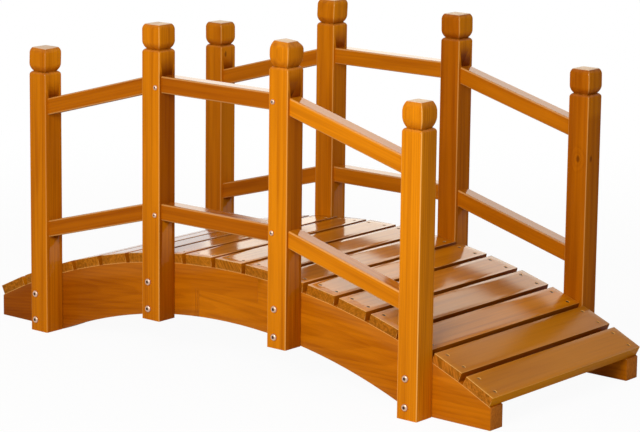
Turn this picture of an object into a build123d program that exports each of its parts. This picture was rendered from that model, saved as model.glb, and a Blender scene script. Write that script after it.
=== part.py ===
from build123d import *
from math import cos, degrees, sin, sqrt
import os

# A miniature moon bridge of stained softwood, in millimetres.
# +X runs along the bridge, the near railing is on -Y, and the feet stand on Z = 0 about the origin.

# Side beams: two boards on edge, arched above and below
beam_length = 1000.0
beam_thickness = 30.0
arch_rise = 73.5
beam_crest_height = 155.0
beam_end_height = 34.0

# Deck boards, laid across both beams, each on a flat seat of its own
board_count = 17
board_width = 55.7
board_gap = 5.5
board_thickness = 15.5
board_edge_radius = 1.2
deck_width = 383.0

# Posts: square stock with a milled head, fixed to the outer faces of the beams
post_width = 36.5
post_length = 465.0
end_post_x = 377.5
mid_post_x = 129.0
post_arris_ease = 1.1
head_height = 38.5
neck_width = 27.0
shoulder_rise = 6.0

# The heads were shaped by hand: some are boxy, some are nearly barrels.
# A swell rises from the neck, and a brow turns in to the flat crown.
boxy_crown_width = 29.5
boxy_swell_rise = 12.5
boxy_brow_rise = 9.0
barrel_crown_width = 27.0
barrel_swell_rise = 17.0
barrel_brow_rise = 15.0

# Rails: square bars let into mortises in the posts, level in the middle bay and falling outwards
rail_width = 26.5
rail_edge_radius = 3.0
upper_rail_height = 434.5
lower_rail_height = 235.0
rail_fall = 68.0
mortise_depth = 11.0
mortise_clearance = 0.2

# Places that follow from the sizes
post_half = post_width / 2
post_y = deck_width / 2 + post_half
beam_half_length = beam_length / 2
spring_x = end_post_x - post_half
soffit_radius = (spring_x**2 + arch_rise**2) / (2 * arch_rise)
beam_drop = beam_crest_height - beam_end_height
crest_radius = (beam_half_length**2 + beam_drop**2) / (2 * beam_drop)
crest_centre_z = beam_crest_height - crest_radius
board_angle = (board_width + board_gap) / crest_radius
seat_radius = sqrt(crest_radius**2 - (board_width / 2) ** 2)
rail_slope = rail_fall / (end_post_x - mid_post_x)


def soffit_height(x):
    """Height of the arched lower edge of the beams at x."""
    return arch_rise - soffit_radius + sqrt(soffit_radius**2 - x**2)


# The middle posts end where the arched lower edge meets their outward faces
mid_post_foot = soffit_height(mid_post_x + post_half)


def save(piece, node):
    """Label a finished piece and write it as one file."""
    piece.label = node
    export_step(piece, f"parts/{node}.step")


def board_place(number):
    """Centre and tilt of a board in the XZ plane, numbered 1 from the +X end."""
    angle = ((board_count + 1) / 2 - number) * board_angle
    radius = seat_radius + board_thickness / 2
    centre = (radius * sin(angle), crest_centre_z + radius * cos(angle))
    return Location(centre, -degrees(angle))


def rail_line(bay, height):
    """Axis of a rail in the XZ plane, from mortise floor to mortise floor."""
    reach = post_half - mortise_depth
    if bay == "middle":
        end_x = mid_post_x - reach
        return (-end_x, height), (end_x, height)
    inner = (mid_post_x + reach, height - reach * rail_slope)
    outer = (end_post_x - reach, height - (end_post_x - reach - mid_post_x) * rail_slope)
    if bay == "right":
        return inner, outer
    return (-outer[0], outer[1]), (-inner[0], inner[1])


def rail_bar(bay, height, y, clearance=0.0):
    """A square bar with rounded edges and plumb ends, or with a clearance the mortises that take it."""
    (x0, z0), (x1, z1) = rail_line(bay, height)
    along = Vector(x1 - x0, 0, z1 - z0)
    middle = Plane(origin=((x0 + x1) / 2, y, (z0 + z1) / 2), x_dir=(0, 1, 0), z_dir=along)
    side = rail_width + 2 * clearance
    with BuildPart() as bar:
        with BuildSketch(middle):
            RectangleRounded(side, side, rail_edge_radius + clearance)
        extrude(amount=along.length / 2 + rail_width, both=True)
        split(bisect_by=Plane(origin=(x0, y, z0), z_dir=(1, 0, 0)), keep=Keep.TOP)
        split(bisect_by=Plane(origin=(x1, y, z1), z_dir=(1, 0, 0)), keep=Keep.BOTTOM)
    return bar.part


def post_outline(plane, crown_width, swell_rise, brow_rise, spread=1.0, inset=0.0):
    """Sawn outline of a post on one face, or across its corners when spread and inset."""
    neck_z = post_length - head_height
    swell_z = neck_z + swell_rise
    brow_z = post_length - brow_rise
    half_shaft = spread * post_half - inset
    half_neck = spread * neck_width / 2 - inset
    half_crown = spread * crown_width / 2 - inset
    with BuildSketch(plane) as outline:
        with BuildLine():
            for side in (-1, 1):
                shaft = Line((side * half_shaft, 0), (side * half_shaft, neck_z - shoulder_rise))
                TangentArc(shaft @ 1, (side * half_neck, neck_z), tangent=(0, 1))
                swell = TangentArc((side * half_shaft, swell_z), (side * half_neck, neck_z), tangent=(0, -1))
                cheek = Line(swell @ 0, (side * half_shaft, brow_z))
                TangentArc(cheek @ 1, (side * half_crown, post_length), tangent=(0, 1))
            Line((-half_shaft, 0), (half_shaft, 0))
            Line((-half_crown, post_length), (half_crown, post_length))
        make_face()
    return outline.sketch


def post_blank(crown_width, swell_rise, brow_rise):
    """A post standing at the origin: one outline milled from both sides, then its arrises eased."""
    corner = Plane(origin=(0, 0, 0), x_dir=(1, 1, 0), z_dir=(1, -1, 0))
    other_corner = Plane(origin=(0, 0, 0), x_dir=(1, -1, 0), z_dir=(-1, -1, 0))
    with BuildPart() as blank:
        extrude(post_outline(Plane.XZ, crown_width, swell_rise, brow_rise), amount=post_half, both=True)
        outline = post_outline(Plane.YZ, crown_width, swell_rise, brow_rise)
        extrude(outline, amount=post_half, both=True, mode=Mode.INTERSECT)
        for plane in (corner, other_corner):
            outline = post_outline(plane, crown_width, swell_rise, brow_rise, sqrt(2), post_arris_ease)
            extrude(outline, amount=post_width, both=True, mode=Mode.INTERSECT)
    return blank.part


os.makedirs("parts", exist_ok=True)

# Side beams, with a flat seat under each board
for node, inner_y in (("near_side_beam", -deck_width / 2 + beam_thickness), ("far_side_beam", deck_width / 2)):
    with BuildPart() as beam:
        with BuildSketch(Plane.XZ.offset(-inner_y)):
            with BuildLine():
                Line((-beam_half_length, 0), (-spring_x, 0))
                ThreePointArc((-spring_x, 0), (0, arch_rise), (spring_x, 0))
                Line((spring_x, 0), (beam_half_length, 0))
                Line((beam_half_length, 0), (beam_half_length, beam_end_height))
                ThreePointArc(
                    (beam_half_length, beam_end_height),
                    (0, beam_crest_height),
                    (-beam_half_length, beam_end_height),
                )
                Line((-beam_half_length, beam_end_height), (-beam_half_length, 0))
            make_face()
            for number in range(1, board_count + 1):
                with Locations(board_place(number)):
                    Rectangle(board_width, board_thickness, mode=Mode.SUBTRACT)
        extrude(amount=beam_thickness)
    save(beam.part, node)

# Deck boards, numbered from the +X end
for number in range(1, board_count + 1):
    with BuildPart() as board:
        with BuildSketch(Plane.XZ * board_place(number)):
            Rectangle(board_width, board_thickness)
            fillet(vertices().group_by(Axis.Y)[-1], board_edge_radius)
        extrude(amount=deck_width / 2, both=True)
    save(board.part, f"deck_board_{number:02d}")

# Rails of both railings
bays = ("left", "middle", "right")
rail_heights = {"upper": upper_rail_height, "lower": lower_rail_height}
railing_sides = {"near": -post_y, "far": post_y}
for side, y in railing_sides.items():
    for bay in bays:
        for level, height in rail_heights.items():
            save(rail_bar(bay, height, y), f"{side}_{bay}_{level}_rail")

# Posts, each with the mortises of the rails that meet it
boxy_post = post_blank(boxy_crown_width, boxy_swell_rise, boxy_brow_rise)
barrel_post = post_blank(barrel_crown_width, barrel_swell_rise, barrel_brow_rise)
barrel_headed = ("near_right_mid", "near_right_end")
post_places = {
    "left_end": (-end_post_x, 0.0, ("left",)),
    "left_mid": (-mid_post_x, mid_post_foot, ("left", "middle")),
    "right_mid": (mid_post_x, mid_post_foot, ("middle", "right")),
    "right_end": (end_post_x, 0.0, ("right",)),
}
for side, y in railing_sides.items():
    for place, (x, foot_z, post_bays) in post_places.items():
        blank = barrel_post if f"{side}_{place}" in barrel_headed else boxy_post
        with BuildPart() as post:
            add(blank.moved(Location((x, y, foot_z))))
            for bay in post_bays:
                for height in rail_heights.values():
                    add(rail_bar(bay, height, y, mortise_clearance), mode=Mode.SUBTRACT)
        save(post.part, f"{side}_{place}_post")
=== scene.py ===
import math
import random

import bmesh
import bpy
from mathutils import Matrix, Vector


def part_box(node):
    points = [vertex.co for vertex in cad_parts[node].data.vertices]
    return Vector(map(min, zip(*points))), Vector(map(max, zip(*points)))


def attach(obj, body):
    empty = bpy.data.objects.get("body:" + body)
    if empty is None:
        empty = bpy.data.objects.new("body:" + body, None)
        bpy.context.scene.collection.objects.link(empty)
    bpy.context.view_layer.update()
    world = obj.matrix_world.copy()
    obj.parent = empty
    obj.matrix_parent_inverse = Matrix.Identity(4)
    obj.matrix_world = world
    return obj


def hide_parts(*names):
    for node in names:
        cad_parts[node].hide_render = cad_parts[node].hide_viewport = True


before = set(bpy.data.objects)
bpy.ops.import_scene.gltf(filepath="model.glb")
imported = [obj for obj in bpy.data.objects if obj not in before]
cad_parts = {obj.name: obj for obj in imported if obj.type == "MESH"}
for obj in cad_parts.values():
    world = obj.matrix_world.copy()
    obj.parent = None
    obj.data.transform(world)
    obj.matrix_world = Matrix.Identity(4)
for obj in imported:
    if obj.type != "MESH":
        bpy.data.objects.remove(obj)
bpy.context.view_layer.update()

MM = 0.001
ALONG = Vector((1, 0, 0))
ACROSS = Vector((0, 1, 0))
UP = Vector((0, 0, 1))
OUTWARD = {"near": -ACROSS, "far": ACROSS}
BAYS_AT = {
    "left_end": ("left",),
    "left_mid": ("left", "middle"),
    "right_mid": ("middle", "right"),
    "right_end": ("right",),
}
LEVELS = ("upper", "lower")
BOARDS = sorted(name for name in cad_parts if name.startswith("deck_board"))

# Viewpoint, solved from the perspective of the posts, in the photograph's 640 x 432 frame
IMAGE_WIDTH = 640
IMAGE_HEIGHT = 432
FOCAL_PIXELS = 2562.6
PRINCIPAL_ROW = 150.0
EYE = Vector((2.5469, -3.0531, 1.0591))
YAW = 0.69106
PITCH = -0.18450
ROLL = 0.01186
SENSOR_WIDTH = 36.0


def set_camera():
    """A camera at the viewpoint, with the small vertical shift that the framing needs."""
    forward = Vector((-math.sin(YAW) * math.cos(PITCH), math.cos(YAW) * math.cos(PITCH), math.sin(PITCH)))
    level = Vector((math.cos(YAW), math.sin(YAW), 0))
    upward = level.cross(forward)
    right = level * math.cos(ROLL) + upward * math.sin(ROLL)
    top = upward * math.cos(ROLL) - level * math.sin(ROLL)
    data = bpy.data.cameras.new("viewpoint")
    data.sensor_width = SENSOR_WIDTH
    data.lens = FOCAL_PIXELS / IMAGE_WIDTH * SENSOR_WIDTH
    data.shift_y = (PRINCIPAL_ROW - IMAGE_HEIGHT / 2) / IMAGE_WIDTH
    camera = bpy.data.objects.new("viewpoint", data)
    turn = Matrix((right, top, -forward)).transposed().to_4x4()
    camera.matrix_world = Matrix.Translation(EYE) @ turn
    bpy.context.scene.collection.objects.link(camera)
    bpy.context.scene.camera = camera


# Modelling: how squarely a face or an edge lies to be picked, and when a turn is smoothed, in degrees
SQUARELY = 0.99
SMOOTH_BELOW = 35
DOUBLES_APART = 0.001 * MM


def choose(piece):
    """Selects one piece alone."""
    bpy.ops.object.select_all(action="DESELECT")
    bpy.context.view_layer.objects.active = piece
    piece.select_set(True)


def pick(piece, kind, wanted):
    """Goes into edit mode with only the wanted vertices, edges or faces of a piece selected."""
    choose(piece)
    bpy.ops.object.mode_set(mode="EDIT")
    bpy.ops.mesh.select_mode(type=kind)
    bpy.ops.mesh.select_all(action="DESELECT")
    mesh = bmesh.from_edit_mesh(piece.data)
    elements = {"VERT": mesh.verts, "EDGE": mesh.edges, "FACE": mesh.faces}[kind]
    for element in elements:
        element.select = wanted(element)
    mesh.select_flush_mode()
    bmesh.update_edit_mesh(piece.data)


def put_down():
    """Leaves edit mode, with nothing selected."""
    bpy.ops.object.mode_set(mode="OBJECT")
    bpy.ops.object.select_all(action="DESELECT")


def start(primitive, name, **settings):
    """A new primitive, which is only the start of a piece."""
    bpy.ops.object.select_all(action="DESELECT")
    primitive(**settings)
    piece = bpy.context.object
    piece.name = name
    bpy.ops.object.transform_apply(location=True, rotation=True, scale=True)
    return piece


def block(corner, opposite):
    """A cutter that fills the space between two corners."""
    corner, opposite = Vector(corner), Vector(opposite)
    centre = (corner + opposite) / 2
    spans = [abs(span) for span in opposite - corner]
    return start(bpy.ops.mesh.primitive_cube_add, "block", size=1, location=centre, scale=spans)


def copied(piece, name, place):
    """A copy with its own mesh, set in its place."""
    copy = piece.copy()
    copy.data = piece.data.copy()
    copy.name = name
    bpy.context.scene.collection.objects.link(copy)
    copy.data.transform(place)
    return copy


def solid_copy(node):
    """A closed copy of a CAD node's mesh."""
    copy = copied(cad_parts[node], node + "_copy", Matrix.Identity(4))
    copy.parent = None
    copy.matrix_world = Matrix.Identity(4)
    copy.hide_viewport = False
    copy.hide_render = False
    pick(copy, "VERT", lambda vert: True)
    bpy.ops.mesh.remove_doubles(threshold=DOUBLES_APART)
    put_down()
    return copy


def discard(piece):
    """Takes away a cutter, or a model whose copies are in place."""
    bpy.data.objects.remove(piece, do_unlink=True)


def joined(pieces, name):
    """Several objects made one."""
    choose(pieces[0])
    for piece in pieces:
        piece.select_set(True)
    bpy.ops.object.join()
    piece = bpy.context.object
    piece.name = name
    return piece


def modified(piece, kind, **settings):
    """Adds a modifier and applies it."""
    choose(piece)
    modifier = piece.modifiers.new(kind.lower(), kind)
    for name, value in settings.items():
        setattr(modifier, name, value)
    bpy.ops.object.modifier_apply(modifier=modifier.name)


def carve(piece, cutter, **settings):
    """Takes the cutter's shape out of a piece, and the cutter away."""
    modified(piece, "BOOLEAN", object=cutter, operation="DIFFERENCE", solver="EXACT", **settings)
    discard(cutter)


def smooth(piece, degrees=SMOOTH_BELOW):
    """Smooths the shading over edges that turn by less than the angle."""
    choose(piece)
    bpy.ops.object.shade_smooth_by_angle(angle=math.radians(degrees))


def finished(piece, *materials):
    """Gives a new piece its finish, unless it has one already, and lets it ride on the bridge."""
    if materials:
        piece.data.materials.clear()
    for material in materials:
        piece.data.materials.append(material)
    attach(piece, "root")


def middle(node):
    """Middle of a CAD node's box."""
    low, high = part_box(node)
    return (Vector(low) + Vector(high)) / 2


def size_of(node):
    """Sides of a CAD node's box."""
    low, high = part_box(node)
    return Vector(high) - Vector(low)


# Shader maths
MIX_FACTOR = 0
MIX_FIRST = 6
MIX_SECOND = 7
MIX_RESULT = 2


class Wire:
    """A number that varies over a surface. Arithmetic on wires adds Math nodes to their tree."""

    def __init__(self, tree, socket):
        self.tree = tree
        self.socket = socket

    def maths(self, operation, *values):
        node = self.tree.add("ShaderNodeMath", {"operation": operation}, dict(enumerate(values)))
        return Wire(self.tree, node.outputs[0])

    def __add__(self, other):
        return self.maths("ADD", self, other)

    def __radd__(self, other):
        return self.maths("ADD", other, self)

    def __sub__(self, other):
        return self.maths("SUBTRACT", self, other)

    def __rsub__(self, other):
        return self.maths("SUBTRACT", other, self)

    def __mul__(self, other):
        return self.maths("MULTIPLY", self, other)

    def __rmul__(self, other):
        return self.maths("MULTIPLY", other, self)

    def __truediv__(self, other):
        return self.maths("DIVIDE", self, other)

    def __pow__(self, other):
        return self.maths("POWER", self, other)

    def __abs__(self):
        return self.maths("ABSOLUTE", self)

    def fraction(self):
        return self.maths("FRACT", self)

    def root(self):
        return self.maths("SQRT", self)

    def above(self, other):
        return self.maths("GREATER_THAN", self, other)

    def larger(self, other):
        return self.maths("MAXIMUM", self, other)

    def ease(self, low, high):
        """0 below low, 1 above high, with a smooth step between."""
        settings = {"interpolation_type": "SMOOTHSTEP"}
        sockets = {"Value": self, "From Min": low, "From Max": high}
        return Wire(self.tree, self.tree.add("ShaderNodeMapRange", settings, sockets).outputs[0])


class Tree:
    """The nodes of a material or of the world."""

    def __init__(self, owner):
        owner.use_nodes = True
        self.nodes = owner.node_tree.nodes
        self.links = owner.node_tree.links
        self.nodes.clear()

    def add(self, kind, settings, sockets):
        """Adds a node: its settings first, then the values or links of its sockets."""
        node = self.nodes.new(kind)
        for name, value in settings.items():
            setattr(node, name, value)
        for name, value in sockets.items():
            source = value.socket if isinstance(value, Wire) else value
            if isinstance(source, bpy.types.NodeSocket):
                self.links.new(source, node.inputs[name])
            else:
                node.inputs[name].default_value = source
        return node

    def point(self):
        return self.add("ShaderNodeTexCoord", {}, {}).outputs["Object"]

    def parts(self, vector):
        """The three numbers of a vector."""
        split = self.add("ShaderNodeSeparateXYZ", {}, {0: vector})
        return [Wire(self, socket) for socket in split.outputs]

    def scaled(self, vector, factors):
        return self.add("ShaderNodeVectorMath", {"operation": "MULTIPLY"}, {0: vector, 1: factors}).outputs[0]

    def dot(self, vector, direction):
        node = self.add("ShaderNodeVectorMath", {"operation": "DOT_PRODUCT"}, {0: vector, 1: direction})
        return Wire(self, node.outputs["Value"])

    def noise(self, vector, scale, detail=2.0, roughness=0.5):
        sockets = {"Vector": vector, "Scale": scale, "Detail": detail, "Roughness": roughness}
        return Wire(self, self.add("ShaderNodeTexNoise", {}, sockets).outputs[0])

    def mix(self, factor, first, second, blend="MIX"):
        settings = {"data_type": "RGBA", "blend_type": blend, "clamp_factor": True}
        sockets = {MIX_FACTOR: factor, MIX_FIRST: first, MIX_SECOND: second}
        return self.add("ShaderNodeMix", settings, sockets).outputs[MIX_RESULT]

    def bump(self, height, strength, distance):
        sockets = {"Strength": strength, "Distance": distance, "Height": height}
        return self.add("ShaderNodeBump", {}, sockets).outputs[0]

    def seen_by(self, *rays):
        """1 where the light path is one of these kinds of ray, and 0 elsewhere."""
        path = self.add("ShaderNodeLightPath", {}, {})
        seen, *others = [Wire(self, path.outputs[f"Is {ray} Ray"]) for ray in rays]
        for other in others:
            seen = seen.larger(other)
        return seen


class Finish(Tree):
    """A material and its nodes."""

    def __init__(self, name):
        self.material = bpy.data.materials.new(name)
        super().__init__(self.material)

    def close(self, **sockets):
        """Ends the nodes in a Principled shader, whose sockets are named with underscores for spaces."""
        named = {name.replace("_", " "): value for name, value in sockets.items()}
        shader = self.add("ShaderNodeBsdfPrincipled", {}, named)
        self.add("ShaderNodeOutputMaterial", {}, {"Surface": shader.outputs[0]})
        return self.material


# Stained softwood, as linear colours
PALE_WOOD = (0.80, 0.272, 0.004, 1)
DARK_WOOD = (0.40, 0.092, 0.001, 1)
END_WOOD = (0.40, 0.122, 0.010, 1)
SAWN_DARK = (0.13, 0.036, 0.002, 1)
# Top of a post: paler sanded end grain under a painted sheen
CROWN_SHEEN = (1.0, 0.68, 0.42, 1)
# Pale arrises: worn through the stain, and a painted highlight
WORN_AND_HIGHLIT_WOOD = (1.0, 0.56, 0.15, 1)
KNOT_WOOD = (0.16, 0.035, 0.001, 1)

# How much more than the red a deeper stain takes from the green, on planed faces and on sawn ends
REDNESS = 1.45
END_REDNESS = 1.1

# How a piece of wood looks, unless its own list says otherwise:
#   ring       width of the annual rings, in millimetres
#   figure     how strongly the rings show
#   streaks    how strongly the broad streaks show
#   lean       how far the heart leans toward the face, which draws the rings out into arches
#   redness    how much redder the wood gets where more stain went in
#   side_shade_tone  painted shade or light on the sides, against the face
#   top_light_tone   height above which painted light brightens the sides, and how bright it makes them
#   outer_shade_tone painted shade toward the bridge's ends, against the middle
#   end_tone   stain of the sawn ends
#   mottle     how strongly the sawn ends are mottled, and saw_marks how much of that is saw marks
#   rubbed     how pale the arrises are, worn and with a painted highlight, and end_rubbed_and_highlit the edges of the sawn ends
#   polish     how much the upward faces shine
#   haze       how much the gloss is blurred
#   crown      height above which upward end grain is the pale top of a post, paler sanded end grain under a painted sheen
#   knots      points of the surface
LOOKS = {
    "ring": 3.4,
    "figure": 0.5,
    "streaks": 0.3,
    "lean": 0.0,
    "redness": REDNESS,
    "side_shade_tone": 1.0,
    "top_light_tone": (0.0, 1.0),
    "outer_shade_tone": 1.0,
    "end_tone": 1.0,
    "mottle": 1.0,
    "saw_marks": 0.0,
    "rubbed_and_highlit": 0.35,
    "end_rubbed_and_highlit": 0.0,
    "polish": 1.0,
    "haze": 0.1,
    "crown": None,
    "knots": (),
}

# Where a log's heart may lie: behind the piece and beside it in millimetres, and lengthways in metres
HEART_DEPTHS = (24, 60)
HEART_SIDES = (-12, 12)
HEART_LENGTHS = (-3, 3)

# Noise of the grain: how much it is drawn out along the log, its scale and its detail
WAVER = (0.05, 26.0, 2.0)
TREMBLE = (0.05, 150.0, 2.0)
FIBRE = (0.02, 900.0, 2.0)
STREAK = (0.025, 130.0, 3.0)
BLOTCH = (0.15, 22.0, 2.0)

# Annual rings: how far they waver and tremble, and where the late wood comes and goes within a ring
WAVER_REACH = 14 * MM
TREMBLE_REACH = 1.6 * MM
LATE_COMES = (0.25, 0.85)
LATE_GOES = (0.88, 1.0)
RING_STRENGTH = 0.34

# Knots, which are longer along the grain, and which the rings pass round
KNOT_SLIMNESS = 0.6
SWIRL_RADIUS = 16 * MM
SWIRL_PUSH = 7 * MM
KNOT_CORE = (1.5 * MM, 4.5 * MM)
KNOT_TREMBLE = 2 * MM
KNOT_STRENGTH = 0.8

# Streaks, blotches and fibres of the stain
STREAK_EDGES = (0.42, 0.68)
BLOTCH_EDGES = (0.35, 0.72)
BLOTCH_STRENGTH = 0.30
FIBRE_SHADE = 0.90
FIBRE_CONTRAST = 0.22

# How squarely a surface has to face an end, the sky, a side, an edge or the ground to count as facing it
END_FACING = (0.72, 0.92)
SKY_FACING = (0.15, 0.85)
SIDE_FACING = (0.70, 0.95)
EDGE_FACING = (0.12, 0.42)
GROUND_FACING = (0.05, 0.6)

# Sawn ends: their mottling as a noise, the slant of the saw marks, and how fast these change either way
FUZZ = (220.0, 3.0, 0.7)
SAW_SLANTS = (0.6, 1.2)
CHANGE_ACROSS_MARKS = 420
CHANGE_ALONG_MARKS = 40
MOTTLE_EDGES = (0.38, 0.62)
MOTTLE_LEVEL = 0.75
END_SHARE = 0.75
# How much of the painted sheen goes onto the top of a post
CROWN_SHEEN_SHARE = 0.9

# Painted light and shade: the fade of the painted light at the tops of the posts' sides, the spread of the
# painted shade along the bridge, and the painted shade on downward faces
TOP_LIGHT_FADE = 15 * MM
OUTER_SHADE_SPREAD = (60 * MM, 480 * MM)
UNDERSIDE_SHADE_SHARE = 0.6
UNDERSIDE_SHADE_TONE = 0.55

# Worn arrises with a painted highlight: how pale every arris is at least, and the level of the fuzz that
# breaks up the worn and highlit edges of sawn ends
ARRIS_WEAR_AND_HIGHLIGHT = 0.12
FUZZ_MIDDLE = 0.5

# Relief and varnish
LATE_RELIEF = 0.2
FIBRE_RELIEF = 0.4
BLOTCH_RELIEF = 1.1
SAWN_RELIEF = 1.5
RELIEF_STRENGTH = 0.2
RELIEF_DEPTH = 0.4 * MM
PLANED_ROUGHNESS = 0.45
FIBRE_ROUGHNESS = 0.12
SAWN_ROUGHNESS = 0.2
BARE_SPECULAR = 0.015
LEAST_COAT = 0.02
ARRIS_COAT = 0.18
VARNISH_IOR = 1.6


def stain(tone, redness=REDNESS):
    """A deeper stain takes more from the green and blue than from the red, and so does the painted shade that
    uses it.
    """
    return (tone, tone**redness, tone**2, 1)


class Wood(Finish):
    """Glossy stained softwood, sawn from a log whose heart runs along the grain, some way behind the face."""

    def __init__(self, name, centre, grain, face, own_looks):
        super().__init__(name)
        self.looks = {**LOOKS, **own_looks}
        self.chance = random.Random(name)
        self.grain = grain
        self.face = face
        self.side = grain.cross(face).normalized()
        self.log = self.point_in_log(centre)
        self.tremble = self.grainy(*TREMBLE) - 0.5
        self.fibre = self.grainy(*FIBRE)
        self.blotch = self.grainy(*BLOTCH)
        self.fuzz = self.noise(self.point(), *FUZZ)
        facing = self.add("ShaderNodeTexCoord", {}, {}).outputs["Normal"]
        self.to_end = self.dot(facing, grain)
        self.to_face = self.dot(facing, face)
        self.to_side = self.dot(facing, self.side)
        self.to_sky = self.dot(facing, UP)
        self.on_end = abs(self.to_end).ease(*END_FACING)
        self.on_top = self.to_sky.ease(*SKY_FACING)
        self.on_arris = abs(self.to_side * self.to_face).ease(*EDGE_FACING)

    def point_in_log(self, centre):
        """The surface's own point, turned and moved so that the log's heart is the z axis."""
        heart = (self.grain + self.face * self.looks["lean"]).normalized()
        heart_depth = self.chance.uniform(*HEART_DEPTHS) * MM
        heart_side = self.chance.uniform(*HEART_SIDES) * MM
        lengthways = self.chance.uniform(*HEART_LENGTHS)
        turn = Matrix((self.side, heart.cross(self.side), heart))
        offset = Vector((heart_side, heart_depth, lengthways)) - turn @ centre
        sockets = {"Vector": self.point(), "Location": offset, "Rotation": turn.to_euler("XYZ")}
        return self.add("ShaderNodeMapping", {}, sockets).outputs[0]

    def grainy(self, lengthways, scale, detail):
        """Noise that is drawn out along the log."""
        return self.noise(self.scaled(self.log, (1, 1, lengthways)), scale, detail)

    def stained(self, colour, tone, redness=REDNESS):
        """A colour under more stain, or under less where the tone is above 1; the same darkening and
        lightening paints shade and light on sides, tops, ends and downward faces.
        """
        return self.mix(1.0, colour, stain(tone, redness), "MULTIPLY")

    def knot_reach(self, knot):
        """Distance from the middle of a knot."""
        sockets = {0: self.point(), 1: knot}
        apart = self.add("ShaderNodeVectorMath", {"operation": "SUBTRACT"}, sockets).outputs[0]
        along = self.dot(apart, self.grain) * KNOT_SLIMNESS
        return (self.dot(apart, self.side) ** 2 + self.dot(apart, self.face) ** 2 + along * along).root()

    def late_wood(self, knot_reaches):
        """Where the dark late wood of the annual rings shows."""
        waver = self.grainy(*WAVER) - 0.5
        x, y, _ = self.parts(self.log)
        distance = (x * x + y * y).root() + waver * WAVER_REACH + self.tremble * TREMBLE_REACH
        for reach in knot_reaches:
            distance = distance + (1 - reach.ease(0, SWIRL_RADIUS)) * SWIRL_PUSH
        phase = (distance / (self.looks["ring"] * MM)).fraction()
        return phase.ease(*LATE_COMES) * (1 - phase.ease(*LATE_GOES))

    def figured(self, late, tone):
        """The figure of the wood under its stain: rings, broad streaks, slow blotches and fine fibres."""
        streak = self.grainy(*STREAK)
        dark = late * (RING_STRENGTH * self.looks["figure"])
        dark = dark + streak.ease(*STREAK_EDGES) * self.looks["streaks"]
        dark = dark + self.blotch.ease(*BLOTCH_EDGES) * BLOTCH_STRENGTH
        shade = FIBRE_SHADE + self.fibre * FIBRE_CONTRAST
        grey = self.add("ShaderNodeCombineXYZ", {}, {0: shade, 1: shade, 2: shade}).outputs[0]
        colour = self.mix(1.0, self.mix(dark, PALE_WOOD, DARK_WOOD), grey, "MULTIPLY")
        return self.stained(colour, tone, self.looks["redness"])

    def with_knots(self, colour, knot_reaches):
        """Adds the dark cores of the knots."""
        for reach in knot_reaches:
            core = 1 - (reach + self.tremble * KNOT_TREMBLE).ease(*KNOT_CORE)
            colour = self.mix(core * KNOT_STRENGTH, colour, KNOT_WOOD)
        return colour

    def sawn(self):
        """Where sawn ends are pale: they are mottled, or marked in slanting lines by the saw."""
        slant = self.chance.uniform(*SAW_SLANTS) * self.chance.choice((-1, 1))
        across_marks = (self.side * math.cos(slant) + self.face * math.sin(slant)) * CHANGE_ACROSS_MARKS
        along_marks = (self.face * math.cos(slant) - self.side * math.sin(slant)) * CHANGE_ALONG_MARKS
        sockets = {0: self.dot(self.point(), across_marks), 1: self.dot(self.point(), along_marks)}
        marks = self.noise(self.add("ShaderNodeCombineXYZ", {}, sockets).outputs[0], 1.0, 1.0)
        share = self.looks["saw_marks"]
        pale = self.fuzz.ease(*MOTTLE_EDGES) * (1 - share) + marks.ease(*MOTTLE_EDGES) * share
        return MOTTLE_LEVEL + (pale - MOTTLE_LEVEL) * self.looks["mottle"]

    def with_ends(self, colour, sawn):
        """Adds the sawn ends, and the top of a post: paler sanded end grain under a painted sheen."""
        ends = self.stained(self.mix(sawn, SAWN_DARK, END_WOOD), self.looks["end_tone"], END_REDNESS)
        colour = self.mix(self.on_end * END_SHARE, colour, ends)
        if self.looks["crown"] is None:
            return colour
        # Painted sheen on the crown of a post, over paler sanded end grain
        crown = self.dot(self.point(), UP).above(self.looks["crown"]) * self.on_end
        return self.mix(crown * CROWN_SHEEN_SHARE, colour, CROWN_SHEEN)

    def painted_light_and_shade(self, colour):
        """Painted shade or light on the sides, painted light near the tops of the sides, painted shade toward
        the bridge's ends, and painted shade on the faces that look down.
        """
        on_side = abs(self.to_side).ease(*SIDE_FACING)
        top_height, top_light_tone = self.looks["top_light_tone"]
        # Painted light on the sides near the top of a post
        lit_at_top = on_side * self.dot(self.point(), UP).ease(top_height, top_height + TOP_LIGHT_FADE)
        # Painted shade toward the bridge's ends
        outward = abs(self.dot(self.point(), ALONG)).ease(*OUTER_SHADE_SPREAD)
        # Painted shade on the faces that look down
        underneath = (0 - self.to_sky).ease(*GROUND_FACING) * UNDERSIDE_SHADE_SHARE
        # Painted shade or light on the sides
        colour = self.mix(on_side, colour, self.stained(colour, self.looks["side_shade_tone"]))
        colour = self.mix(lit_at_top, colour, self.stained(colour, top_light_tone))
        colour = self.mix(outward, colour, self.stained(colour, self.looks["outer_shade_tone"]))
        return self.mix(underneath, colour, self.stained(colour, UNDERSIDE_SHADE_TONE))

    def rubbed_and_highlit(self, colour):
        """Makes the arrises pale, worn and with a painted highlight, and the edges of the sawn ends of a
        piece that asks for it.
        """
        # Pale arrises: worn through the stain, and a painted highlight
        wear_and_highlight = self.on_arris * (ARRIS_WEAR_AND_HIGHLIGHT + self.blotch * self.looks["rubbed_and_highlit"])
        colour = self.mix(wear_and_highlight, colour, WORN_AND_HIGHLIT_WOOD)
        if not self.looks["end_rubbed_and_highlit"]:
            return colour
        end_edge = abs(self.to_end * self.to_face).ease(*EDGE_FACING)
        wear_and_highlight = end_edge * (self.fuzz + self.looks["end_rubbed_and_highlit"] - FUZZ_MIDDLE)
        return self.mix(wear_and_highlight, colour, WORN_AND_HIGHLIT_WOOD)

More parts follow.
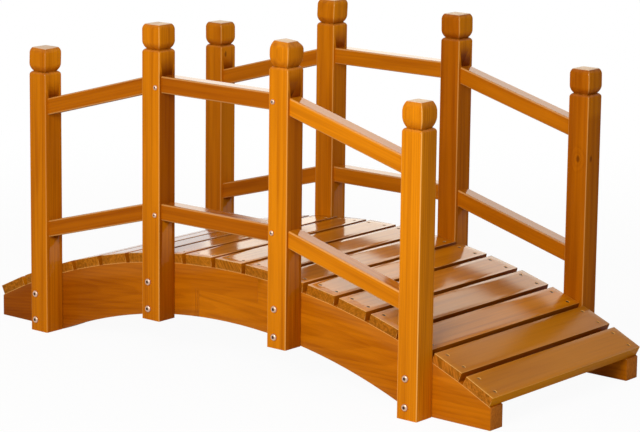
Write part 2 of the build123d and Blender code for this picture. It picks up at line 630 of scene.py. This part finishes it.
    def varnished(self, colour, late, sawn):
        """Ends the wood in its clear varnish, which shines most on the upward faces."""
        relief = late * LATE_RELIEF + self.fibre * FIBRE_RELIEF + self.blotch * BLOTCH_RELIEF
        relief = relief + self.on_end * (1 - self.on_top) * sawn * SAWN_RELIEF
        shine = self.on_top * (self.looks["polish"] * (1 - LEAST_COAT))
        return self.close(
            Base_Color=colour,
            Roughness=PLANED_ROUGHNESS + self.fibre * FIBRE_ROUGHNESS + self.on_end * SAWN_ROUGHNESS,
            Normal=self.bump(relief, RELIEF_STRENGTH, RELIEF_DEPTH),
            Specular_IOR_Level=BARE_SPECULAR,
            Coat_Weight=LEAST_COAT + shine + self.on_arris * ARRIS_COAT,
            Coat_Roughness=self.looks["haze"],
            Coat_IOR=VARNISH_IOR,
        )


def stained_wood(name, centre, grain, face, tone, **own_looks):
    """The finish of one piece of wood, from the sawn timber to the varnish."""
    wood = Wood(name, centre, grain, face, own_looks)
    knot_reaches = [wood.knot_reach(knot) for knot in wood.looks["knots"]]
    late = wood.late_wood(knot_reaches)
    sawn = wood.sawn()
    colour = wood.with_knots(wood.figured(late, tone), knot_reaches)
    colour = wood.painted_light_and_shade(wood.with_ends(colour, sawn))
    return wood.varnished(wood.rubbed_and_highlit(colour), late, sawn)


# Metals: two linear colours of each, the second in the clouds of tarnish or rust
ZINC = (0.80, 0.54, 0.40, 1)
TARNISH = (0.42, 0.27, 0.19, 1)
DULL_STEEL = (0.10, 0.08, 0.065, 1)
RUST = (0.05, 0.03, 0.015, 1)
SOCKET_RUST = (0.14, 0.07, 0.04, 1)
STAINED_STEEL = (0.46, 0.22, 0.06, 1)
STAINED_RUST = (0.24, 0.10, 0.02, 1)
CLOUDS = (420.0, 3.0)
CLOUD_ROUGHNESS = 0.22
CLOUD_RELIEF = 0.3
CLOUD_DEPTH = 0.1 * MM
STEEL_SPECULAR = 0.2


def steel(name, bright, dull, metallic=1.0, roughness=0.26):
    """Metal of the bolts and screws, clouded between two colours. Caked stain makes it less metallic."""
    finish = Finish(name)
    cloud = finish.noise(finish.point(), *CLOUDS)
    return finish.close(
        Base_Color=finish.mix(cloud, bright, dull),
        Metallic=metallic,
        Roughness=roughness + cloud * CLOUD_ROUGHNESS,
        Specular_IOR_Level=STEEL_SPECULAR,
        Normal=finish.bump(cloud, CLOUD_RELIEF, CLOUD_DEPTH),
    )


# Posts
POST_WIDTH = size_of("near_left_end_post").x
POST_LENGTH = size_of("near_left_end_post").z
HEAD_HEIGHT = 38.5 * MM
NECK_WIDTH = 27.0 * MM
SHOULDER_RISE = 6.0 * MM
ARRIS_RADIUS = 1.6 * MM
ARRIS_SEGMENTS = 4
CROWN_EDGE = 1.2 * MM
CROWN_SEGMENTS = 3
CROWN_DEPTH = 2.5 * MM
LEVEL_WITHIN = 0.01 * MM
ARC_STEPS = 7
SMOOTH_POSTS_BELOW = 40

# Heads: width of the crown, height over the neck where a head is full, and depth where it draws in again
HEADS = {"boxy": (29.5 * MM, 12.5 * MM, 9.0 * MM), "barrel": (27.0 * MM, 17.0 * MM, 15.0 * MM)}
BARREL_HEADED = ("near_right_mid_post", "near_right_end_post")

# Sanding by hand slides a crown a little, in millimetres, with the wood within reach of it
CROWN_SLIDE = 0.6
CROWN_TOP = 0.5 * MM
CROWN_REACH = 30.0 * MM

# Corners of the crowns that were sanded round: which corner in x and y, and how far it went inward and down.
# A corner is the crown's farthest point in its direction, in which height counts most
CORNER_REACH = 12.0 * MM
CORNER_SPAN = 2.0 * MM
HEIGHT_FIRST = 4
WORN_CORNERS = {
    "near_left_end_post": ((1, -1, 1.5 * MM, 1.2 * MM),),
    "near_right_mid_post": ((1, -1, 1.5 * MM, 1.2 * MM), (1, 1, 2.0 * MM, 1.2 * MM)),
}

# Tone of each post: on its face, its own stain together with painted shade, deepest on the far right posts;
# on its sides against the face, painted shade or light; and on the sides near the top, painted light
TOP_LIGHT_DEPTH = 80.0 * MM
POST_TONES = {
    "near_left_end_post": (0.80, 0.93, 1.3),
    "near_left_mid_post": (0.76, 0.64, 1.95),
    "near_right_mid_post": (0.82, 0.76, 1.35),
    "near_right_end_post": (0.85, 1.08, 1.0),
    "far_left_end_post": (0.74, 1.22, 1.15),
    "far_left_mid_post": (0.79, 1.05, 1.2),
    "far_right_mid_post": (0.58, 1.20, 1.35),
    "far_right_end_post": (0.60, 1.08, 1.2),
}
POST_POLISH = 0.3
# How pale each post's arrises are, worn and with a painted highlight, where it differs from the rest
RUBBED_AND_HIGHLIT_POSTS = {"near_left_end_post": 0.05, "near_right_end_post": 0.7}
KNOTS = {
    "far_left_end_post": (Vector((-359.2, 202.5, 411.2)) * MM,),
    "far_right_end_post": (Vector((379.5, 191.5, 325.4)) * MM, Vector((395.7, 203.1, 325.9)) * MM),
}


def turn_in(start_point, end_point):
    """Points of an arc that leaves its start straight up or down, as half widths and heights."""
    reach = start_point[0] - end_point[0]
    rise = end_point[1] - start_point[1]
    radius = (reach**2 + rise**2) / (2 * reach)
    sweep = math.asin(abs(rise) / radius)
    points = []
    for step in range(1, ARC_STEPS + 1):
        angle = sweep * step / ARC_STEPS
        climb = math.copysign(radius * math.sin(angle), rise)
        points.append((start_point[0] - radius * (1 - math.cos(angle)), start_point[1] + climb))
    return points


def post_outline(head):
    """Half widths and heights of a post, upwards from the foot of its shoulder."""
    crown_width, swell_rise, brow_depth = HEADS[head]
    half = POST_WIDTH / 2
    neck = (NECK_WIDTH / 2, POST_LENGTH - HEAD_HEIGHT)
    shaft_top = (half, neck[1] - SHOULDER_RISE)
    swell = (half, neck[1] + swell_rise)
    brow = (half, POST_LENGTH - brow_depth)
    rising = [*reversed(turn_in(swell, neck)[:-1]), swell]
    return [*turn_in(shaft_top, neck), *rising, brow, *turn_in(brow, (crown_width / 2, POST_LENGTH))]


def edge_rises(edge):
    """True of the four arrises, whose edges have their ends at different heights."""
    first, second = (vert.co for vert in edge.verts)
    return abs(first.z - second.z) > LEVEL_WITHIN


def model_post(head):
    """A post standing at the origin, drawn up ring by ring to its milled outline, with rounded arrises."""
    shaft_top = POST_LENGTH - HEAD_HEIGHT - SHOULDER_RISE
    post = start(
        bpy.ops.mesh.primitive_cube_add,
        head + "_post",
        size=1,
        location=(0, 0, shaft_top / 2),
        scale=(POST_WIDTH, POST_WIDTH, shaft_top),
    )
    pick(post, "FACE", lambda face: face.normal.z > SQUARELY)
    width, height = POST_WIDTH / 2, shaft_top
    for half, level in post_outline(head):
        bpy.ops.mesh.extrude_region_move(TRANSFORM_OT_translate={"value": (0, 0, level - height)})
        bpy.ops.transform.resize(value=(half / width, half / width, 1))
        width, height = half, level
    put_down()
    pick(post, "EDGE", edge_rises)
    bpy.ops.mesh.bevel(offset=ARRIS_RADIUS, segments=ARRIS_SEGMENTS, affect="EDGES")
    put_down()
    pick(post, "FACE", lambda face: face.normal.z > SQUARELY)
    bpy.ops.mesh.region_to_loop()
    bpy.ops.mesh.bevel(offset=CROWN_EDGE, segments=CROWN_SEGMENTS, affect="EDGES")
    put_down()
    return post


def hand_shape(post, node, top):
    """Leaves a head a little uneven, as sanding by hand does."""
    chance = random.Random(node)
    pick(post, "VERT", lambda vert: vert.co.z > top - CROWN_TOP)
    slide = [chance.uniform(-CROWN_SLIDE, CROWN_SLIDE) * MM for _ in "xy"]
    settings = {"use_proportional_edit": True, "proportional_edit_falloff": "SMOOTH"}
    bpy.ops.transform.translate(value=(*slide, 0), proportional_size=CROWN_REACH, **settings)
    put_down()
    for east, north, inward, down in WORN_CORNERS.get(node, ()):
        corner = max(post.data.vertices, key=lambda vert: vert.co.dot(Vector((east, north, HEIGHT_FIRST))))
        around = corner.co.copy()
        push = (-east * inward, -north * inward, -down)
        pick(post, "VERT", lambda vert: (vert.co - around).length < CORNER_SPAN)
        bpy.ops.transform.translate(value=push, proportional_size=CORNER_REACH, **settings)
        put_down()


def set_posts():
    """Eight posts in the places of the CAD's, each with its own head, mortises and wood."""
    models = {head: model_post(head) for head in HEADS}
    for side, face in OUTWARD.items():
        for place, bays in BAYS_AT.items():
            node = f"{side}_{place}_post"
            low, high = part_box(node)
            foot = Matrix.Translation(((low[0] + high[0]) / 2, (low[1] + high[1]) / 2, low[2]))
            head = "barrel" if node in BARREL_HEADED else "boxy"
            post = copied(models[head], node + "_wood", foot)
            hand_shape(post, node, low[2] + POST_LENGTH)
            for bay in bays:
                for level in LEVELS:
                    carve(post, solid_copy(f"{side}_{bay}_{level}_rail"))
            smooth(post, SMOOTH_POSTS_BELOW)
            # Painted shade or light on the sides, painted light near their tops, a painted highlight on the
            # worn arrises and a painted sheen on the crown
            tone, side_shade_tone, top_light_tone = POST_TONES[node]
            looks = {
                "side_shade_tone": side_shade_tone,
                "top_light_tone": (high[2] - TOP_LIGHT_DEPTH, top_light_tone),
                "rubbed_and_highlit": RUBBED_AND_HIGHLIT_POSTS.get(node, LOOKS["rubbed_and_highlit"]),
                "polish": POST_POLISH,
                "crown": high[2] - CROWN_DEPTH,
                "knots": KNOTS.get(node, ()),
            }
            finished(post, stained_wood(node + "_wood", middle(node), UP, face, tone, **looks))
            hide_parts(node)
    for model in models.values():
        discard(model)


# Deck boards, a little narrower than the CAD's, because the photograph shows wider gaps between them
BOARD_WIDTH = 53.4 * MM
BOARD_THICKNESS = size_of("deck_board_09").z
DECK_WIDTH = size_of("deck_board_09").y
BOARD_EDGE = 0.5 * MM
BOARD_EDGE_SEGMENTS = 4
BOARD_END_EDGE = 0.7 * MM
BOARD_END_SEGMENTS = 2

# Deck screws, countersunk and with a cross recess
SCREW_INSET_X = 10.9 * MM
SCREW_INSET_Y = 18.0 * MM
SCREW_HEAD = 6.2 * MM
SCREW_NECK = 2.0 * MM
SCREW_HEAD_DEPTH = 2.0 * MM
SCREW_SINK = 0.4 * MM
SCREW_SIDES = 20
CROSS_LENGTH = 3.4 * MM
CROSS_WIDTH = 0.9 * MM
CROSS_DEPTH = 1.0 * MM
HOLE_CLEARANCE = 0.2 * MM
HOLE_TIP = 1.2 * MM
HOLE_DEPTH = 2.6 * MM
HOLE_OVERSHOOT = 0.05 * MM
HOLE_SIDES = 24

# Wood of the boards. The two at each end are walked duller, so that their grain shows less
BOARD_WOOD = {"ring": 5.2, "redness": 1.0, "end_rubbed_and_highlit": 0.8}
WORN_GRAIN = {"figure": 0.14, "streaks": 0.12}
SHELTERED_GRAIN = {"figure": 0.28, "streaks": 0.24}
WORN_BOARDS = (0, 1, len(BOARDS) - 2, len(BOARDS) - 1)
BOARD_VARIETY = (0.95, 1.05)
BOARD_SAW_MARKS = (0.1, 0.8, 0.4)

# Stain of the sawn ends of the boards from the +X end inwards, of which the last holds for all the others
BOARD_END_TONES = (1.25, 1.25, 1.25, 1.0)

# Painted shade on the boards' sides against their tops, deep in the narrow gaps, and painted light where a
# side stands clear
GAP_SHADE_TONE = 0.55
BOARD_SIDE_SHADE_TONES = {0: 1.3, 1: 0.68, 2: 0.68, len(BOARDS) - 1: 0.8}

# Stain, polish and haze of the boards from the +X end inwards, in which the last row holds for all the others
BOARD_WEAR = (
    (0.70, 0.22, 0.22),
    (0.72, 0.32, 0.22),
    (0.94, 0.62, 0.19),
    (0.84, 0.92, 0.18),
    (0.90, 1.0, 0.16),
    (0.92, 1.0, 0.13),
)


def deck_centre():
    """Centre of the circle that the boards follow, from the middles of the first and the crest board."""
    end, crest = middle(BOARDS[0]), middle(BOARDS[len(BOARDS) // 2])
    height = (crest.z**2 - end.x**2 - end.z**2) / (2 * (crest.z - end.z))
    return Vector((0, 0, height))


def board_place(node):
    """Place of a board: its top face is turned outward from the deck's centre."""
    outward = middle(node) - deck_centre()
    angle = math.atan2(outward.x, outward.z)
    return Matrix.Translation(middle(node)) @ Matrix.Rotation(angle, 4, "Y")


def screw_places():
    """The four screws of a board, as points of its top face."""
    x = BOARD_WIDTH / 2 - SCREW_INSET_X
    y = DECK_WIDTH / 2 - SCREW_INSET_Y
    return [Vector((sx * x, sy * y, BOARD_THICKNESS / 2)) for sx in (-1, 1) for sy in (-1, 1)]


def upper_long_edge(edge):
    """True of the two edges that run the length of a board's top."""
    first, second = (vert.co for vert in edge.verts)
    return abs((second - first).normalized().dot(ACROSS)) > SQUARELY and min(first.z, second.z) > 0


def model_board():
    """A board lying at the origin, with worn edges and four countersunk screw holes."""
    spans = (BOARD_WIDTH, DECK_WIDTH, BOARD_THICKNESS)
    board = start(bpy.ops.mesh.primitive_cube_add, "board", size=1, scale=spans)
    pick(board, "EDGE", upper_long_edge)
    bpy.ops.mesh.bevel(offset=BOARD_EDGE, segments=BOARD_EDGE_SEGMENTS, affect="EDGES")
    put_down()
    pick(board, "FACE", lambda face: abs(face.normal.y) > SQUARELY)
    bpy.ops.mesh.region_to_loop()
    bpy.ops.mesh.bevel(offset=BOARD_END_EDGE, segments=BOARD_END_SEGMENTS, affect="EDGES")
    put_down()
    for place in screw_places():
        hole = start(
            bpy.ops.mesh.primitive_cone_add,
            "hole",
            vertices=HOLE_SIDES,
            radius1=HOLE_TIP / 2,
            radius2=SCREW_HEAD / 2 + HOLE_CLEARANCE,
            depth=HOLE_DEPTH,
            location=place - UP * (HOLE_DEPTH / 2 - HOLE_OVERSHOOT),
        )
        carve(board, hole)
    smooth(board)
    return board


def model_deck_screw():
    """A countersunk head with a cross recess, its top at the origin."""
    head = start(
        bpy.ops.mesh.primitive_cone_add,
        "screw",
        vertices=SCREW_SIDES,
        radius1=SCREW_NECK / 2,
        radius2=SCREW_HEAD / 2,
        depth=SCREW_HEAD_DEPTH,
        location=(0, 0, -SCREW_HEAD_DEPTH / 2),
    )
    spans = (CROSS_LENGTH, CROSS_WIDTH, 2 * CROSS_DEPTH)
    for turn in (0, math.radians(90)):
        slot = start(bpy.ops.mesh.primitive_cube_add, "slot", size=1, rotation=(0, 0, turn), scale=spans)
        carve(head, slot)
    smooth(head)
    return head


def set_deck(metals):
    """Seventeen boards in the places of the CAD's, each screwed down at its four corners."""
    board, screw = model_board(), model_deck_screw()
    heads = {(side, part): [] for side in OUTWARD for part in ("inner", "outer")}
    for number, node in enumerate(BOARDS):
        worn = number in WORN_BOARDS
        place = board_place(node)
        piece = copied(board, node + "_wood", place)
        tone, polish, haze = BOARD_WEAR[min(number, len(BOARD_WEAR) - 1)]
        tone *= random.Random(node).uniform(*BOARD_VARIETY)
        looks = {
            **BOARD_WOOD,
            **(WORN_GRAIN if worn else SHELTERED_GRAIN),
            # Painted shade on the sides in the narrow gaps, and painted light on a side that stands clear
            "side_shade_tone": BOARD_SIDE_SHADE_TONES.get(number, GAP_SHADE_TONE),
            "end_tone": BOARD_END_TONES[min(number, len(BOARD_END_TONES) - 1)],
            "saw_marks": random.Random(node).choice(BOARD_SAW_MARKS),
            "polish": polish,
            "haze": haze,
        }
        face = place.to_3x3() @ UP
        finished(piece, stained_wood(node + "_wood", middle(node), ACROSS, face, tone, **looks))
        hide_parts(node)
        for point in screw_places():
            turn = random.Random(f"{node}{point.x}{point.y}").uniform(0, math.pi)
            seat = place @ Matrix.Translation(point - UP * SCREW_SINK) @ Matrix.Rotation(turn, 4, "Z")
            side = "near" if point.y < 0 else "far"
            heads[side, "outer" if worn else "inner"].append(copied(screw, "screw", seat))
    for (side, part), group in heads.items():
        finished(joined(group, f"{side}_{part}_deck_screws"), metals[part + "_screw"])
    discard(board)
    discard(screw)


# Bolts through the posts' feet, and the screws that pin the middle rails, all with a hexagon socket.
# A dome sweeps up from the rim to a flat round the socket. Each bolt was left at its own turn, in radians
BOLT_HEAD = 10.8 * MM
BOLT_RISE = 3.2 * MM
BOLT_SOCKET = 4.5 * MM
PIN_HEAD = 8.0 * MM
PIN_RISE = 2.6 * MM
PIN_SOCKET = 2.5 * MM
HEAD_SIDES = 32
SOCKET_DEPTH_SHARE = 0.9
RIM_SHARE = 0.3
FLAT_SHARE = 0.62
DOME_SWEEP = math.radians(75)
DOME_STEPS = 4
BOLT_TURNS = (0, 1)
BOLT_SHIFTS = {"left_end": -7.0 * MM, "left_mid": -4.5 * MM, "right_mid": -3.7 * MM, "right_end": -2.8 * MM}
END_BOLT_HEIGHTS = (18.5 * MM, 61.5 * MM)
MID_BOLT_HEIGHTS = (79.0 * MM, 122.0 * MM)
PIN_PLACES = {
    "left_mid": ((-118.0 * MM, 430.0 * MM), (-119.5 * MM, 230.0 * MM)),
    "right_mid": ((119.2 * MM, 435.5 * MM), (119.2 * MM, 237.5 * MM)),
}


def model_button_head(name, width, rise, socket, metals):
    """A button head with a hexagon socket, seated on the plane z = 0 and pointing up."""
    rim = rise * RIM_SHARE
    radius, height = width / 2, rim
    head = start(
        bpy.ops.mesh.primitive_cylinder_add,
        name,
        vertices=HEAD_SIDES,
        radius=radius,
        depth=rim,
        location=(0, 0, rim / 2),
    )
    pick(head, "FACE", lambda face: face.normal.z > SQUARELY)
    for step in range(1, DOME_STEPS + 1):
        angle = DOME_SWEEP * step / DOME_STEPS
        next_radius = width / 2 * math.cos(angle) + socket * FLAT_SHARE * (1 - math.cos(angle))
        next_height = rim + (rise - rim) * math.sin(angle) / math.sin(DOME_SWEEP)
        bpy.ops.mesh.extrude_region_move(TRANSFORM_OT_translate={"value": (0, 0, next_height - height)})
        bpy.ops.transform.resize(value=(next_radius / radius, next_radius / radius, 1))
        radius, height = next_radius, next_height
    put_down()
    recess = start(
        bpy.ops.mesh.primitive_cylinder_add,
        "socket",
        vertices=6,
        radius=socket / math.sqrt(3),
        depth=rise * SOCKET_DEPTH_SHARE,
        location=(0, 0, rise),
    )
    head.data.materials.append(metals["bolt"])
    recess.data.materials.append(metals["bolt_socket"])
    carve(head, recess, material_mode="TRANSFER")
    smooth(head)
    return head


def set_bolts(metals):
    """Two bolts in each post, and two pins more in each mid post."""
    bolt = model_button_head("bolt", BOLT_HEAD, BOLT_RISE, BOLT_SOCKET, metals)
    pin = model_button_head("pin", PIN_HEAD, PIN_RISE, PIN_SOCKET, metals)
    for side, face in OUTWARD.items():
        tip = Matrix.Rotation(math.radians(-90) * face.y, 4, "X")
        for place in BAYS_AT:
            node = f"{side}_{place}_post"
            low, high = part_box(node)
            post_face = max(low[1], high[1], key=abs)
            x = middle(node).x + BOLT_SHIFTS[place]
            heads = []
            for height in END_BOLT_HEIGHTS if place.endswith("end") else MID_BOLT_HEIGHTS:
                seat = Matrix.Translation((x, post_face, height))
                turn = random.Random(f"{side}{place}{height}").uniform(*BOLT_TURNS)
                heads.append(copied(bolt, "head", seat @ tip @ Matrix.Rotation(turn, 4, "Z")))
            for pin_x, height in PIN_PLACES.get(place, ()):
                heads.append(copied(pin, "head", Matrix.Translation((pin_x, post_face, height)) @ tip))
            finished(joined(heads, f"{side}_{place}_bolts"))
    discard(bolt)
    discard(pin)


# Each beam is glued up from two halves that meet in a step about the middle, with finger joints beside it.
# Facets that turn by less than the one angle are merged, and edges that turn by more than the other are eased
BEAM_LENGTH = size_of("near_side_beam").x
BEAM_EDGE = 0.8 * MM
BEAM_EDGE_SEGMENTS = 2
MERGE_BELOW = 0.5
EASE_ABOVE = 40
STEP_REACH = 60.0 * MM
STEP_HEIGHT = 114.0 * MM
GLUE_LINE = 0.04 * MM
GROOVE_WIDTH = 0.6 * MM
GROOVE_DEPTH = 0.7 * MM
FINGER_PLACES = (-67.5 * MM, -63.5 * MM)

# Wood of the halves: what they share, then each one's stain, the rise of its grain toward +X, and its looks
BEAM_WOOD = {
    "ring": 5.0,
    "figure": 0.55,
    "streaks": 0.28,
    "lean": 0.05,
    "end_tone": 1.6,
    "mottle": 0.35,
    "polish": 0.1,
}
# The left half's outer_shade_tone is painted shade toward the bridge's left end, side_shade_tone darkens the
# top and bottom of each half, and rubbed makes the arrises pale, worn and with a painted highlight
BEAM_HALVES = {
    "left": (0.61, 0.12, {"side_shade_tone": 0.85, "outer_shade_tone": 0.64, "rubbed_and_highlit": 0.25}),
    "right": (0.66, -0.03, {"side_shade_tone": 0.90, "outer_shade_tone": 0.98, "rubbed_and_highlit": 0.35}),
}


def score(piece, node, x, bottom, top):
    """A fine upright line on both faces of a beam, where glued pieces of it meet."""
    half = GROOVE_WIDTH / 2
    low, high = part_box(node)
    for face in (low[1], high[1]):
        carve(piece, block((x - half, face - GROOVE_DEPTH, bottom), (x + half, face + GROOVE_DEPTH, top)))


def model_half_beam(node, way):
    """Half of a beam, as far as the stepped joint. The way is toward the other half, 1 or -1 along x."""
    gap = GLUE_LINE / 2
    beyond = BEAM_LENGTH
    piece = solid_copy(node)
    pick(piece, "FACE", lambda face: True)
    bpy.ops.mesh.dissolve_limited(angle_limit=math.radians(MERGE_BELOW))
    put_down()
    edges = {"limit_method": "ANGLE", "angle_limit": math.radians(EASE_ABOVE)}
    modified(piece, "BEVEL", width=BEAM_EDGE, segments=BEAM_EDGE_SEGMENTS, **edges)
    step_corner = (-way * (STEP_REACH + gap), -beyond, STEP_HEIGHT + way * gap)
    carve(piece, block(step_corner, (way * beyond, beyond, -way * beyond)))
    carve(piece, block((way * (STEP_REACH - gap), -beyond, -beyond), (way * beyond, beyond, beyond)))
    for x in (*FINGER_PLACES, -STEP_REACH):
        score(piece, node, x, -beyond, STEP_HEIGHT)
    score(piece, node, STEP_REACH, STEP_HEIGHT, beyond)
    smooth(piece)
    return piece


def set_beams():
    """Two halves in the place of each of the CAD's beams."""
    for side, face in OUTWARD.items():
        node = f"{side}_side_beam"
        for half, (tone, rise, own_looks) in BEAM_HALVES.items():
            way = 1 if half == "left" else -1
            piece = model_half_beam(node, way)
            piece.name = f"{side}_beam_{half}_half"
            grain = Vector((1, 0, rise)).normalized()
            centre = middle(node) - ALONG * (way * BEAM_LENGTH / 4)
            looks = {**BEAM_WOOD, **own_looks}
            finished(piece, stained_wood(piece.name + "_wood", centre, grain, face, tone, **looks))
            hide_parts(node)


# Rails, with the stain of each bay's
RAIL_WIDTH = 26.5 * MM
RAIL_TONES = {
    "near": {"left": 0.565, "middle": 0.515, "right": 0.81},
    "far": {"left": 0.66, "middle": 0.73, "right": 0.70},
}


def dress_rails():
    """Wood on the CAD's rails, with the grain along each. The box of a sloping rail gives the slope."""
    spans = size_of("near_right_upper_rail")
    tilt = math.atan2(spans.z - RAIL_WIDTH, spans.x)
    slopes = {"left": tilt, "middle": 0.0, "right": -tilt}
    for side, face in OUTWARD.items():
        for bay, tone in RAIL_TONES[side].items():
            run = Vector((math.cos(slopes[bay]), 0, math.sin(slopes[bay])))
            for level in LEVELS:
                node = f"{side}_{bay}_{level}_rail"
                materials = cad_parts[node].data.materials
                materials.clear()
                materials.append(stained_wood(node + "_wood", middle(node), run, face, tone))


# Studio: the world's light on the wood, the floor and how far from the middle it fades, and the two lamps
SKY_FILL = 0.30
FLOOR_SIZE = 60.0
FLOOR_GREY = (0.86, 0.86, 0.86, 1)
FLOOR_GLOW = 0.95
FLOOR_FADE = (0.7, 2.0)
WHITE = (1, 1, 1, 1)
KEY = {"place": (0.75, -2.3, 1.4), "aim": (0.1, 0, 0.25), "size": 1.2, "power": 52, "tint": (1, 1, 1)}
WARM = (1, 0.88, 0.62)
BACK = {"place": (-1.25, 2.5, 1.25), "aim": (0.15, 0, 0.15), "size": 2.2, "power": 12.5, "tint": WARM}


def set_world():
    """White all round for the camera, in reflections and through glass, and a soft even fill for the wood."""
    world = bpy.data.worlds.new("studio")
    bpy.context.scene.world = world
    sky = Tree(world)
    strength = SKY_FILL + sky.seen_by("Camera", "Glossy", "Transmission") * (1 - SKY_FILL)
    background = sky.add("ShaderNodeBackground", {}, {"Color": WHITE, "Strength": strength})
    sky.add("ShaderNodeOutputWorld", {}, {"Surface": background.outputs[0]})


def set_floor():
    """Pale paper that keeps the shadow near the bridge and is white farther off."""
    bpy.ops.mesh.primitive_plane_add(size=FLOOR_SIZE, location=(0, 0, 0))
    floor = bpy.context.object
    floor.name = "floor"
    paper = Finish("floor_paper")
    diffuse = paper.add("ShaderNodeBsdfDiffuse", {}, {"Color": FLOOR_GREY})
    glow = paper.add("ShaderNodeEmission", {}, {"Color": WHITE, "Strength": 1.0})
    x, y, _ = paper.parts(paper.point())
    away = (x * x + y * y).root().ease(*FLOOR_FADE)
    share = paper.seen_by("Camera", "Glossy") * (FLOOR_GLOW + away * (1 - FLOOR_GLOW))
    mixed = paper.add("ShaderNodeMixShader", {}, {0: share, 1: diffuse.outputs[0], 2: glow.outputs[0]})
    paper.add("ShaderNodeOutputMaterial", {}, {"Surface": mixed.outputs[0]})
    floor.data.materials.append(paper.material)


def soft_light(name, place, aim, size, power, tint):
    """A square lamp, turned toward its aim."""
    data = bpy.data.lights.new(name, "AREA")
    data.shape = "SQUARE"
    data.size = size
    data.energy = power
    data.color = tint
    lamp = bpy.data.objects.new(name, data)
    lamp.location = place
    lamp.rotation_euler = (Vector(aim) - Vector(place)).to_track_quat("-Z", "Y").to_euler()
    bpy.context.scene.collection.objects.link(lamp)


# The bridge in its studio
bpy.ops.object.select_all(action="DESELECT")
set_camera()
set_world()
set_floor()
soft_light("key", **KEY)
soft_light("back", **BACK)
metals = {
    "bolt": steel("plated_steel", ZINC, TARNISH),
    "bolt_socket": steel("bolt_socket_grime", SOCKET_RUST, RUST, metallic=0.2),
    "inner_screw": steel("dark_steel", DULL_STEEL, RUST),
    "outer_screw": steel("stained_steel", STAINED_STEEL, STAINED_RUST, metallic=0.0, roughness=0.7),
}
set_posts()
set_deck(metals)
set_bolts(metals)
set_beams()
dress_rails()
bpy.context.scene.view_settings.view_transform = "Standard"
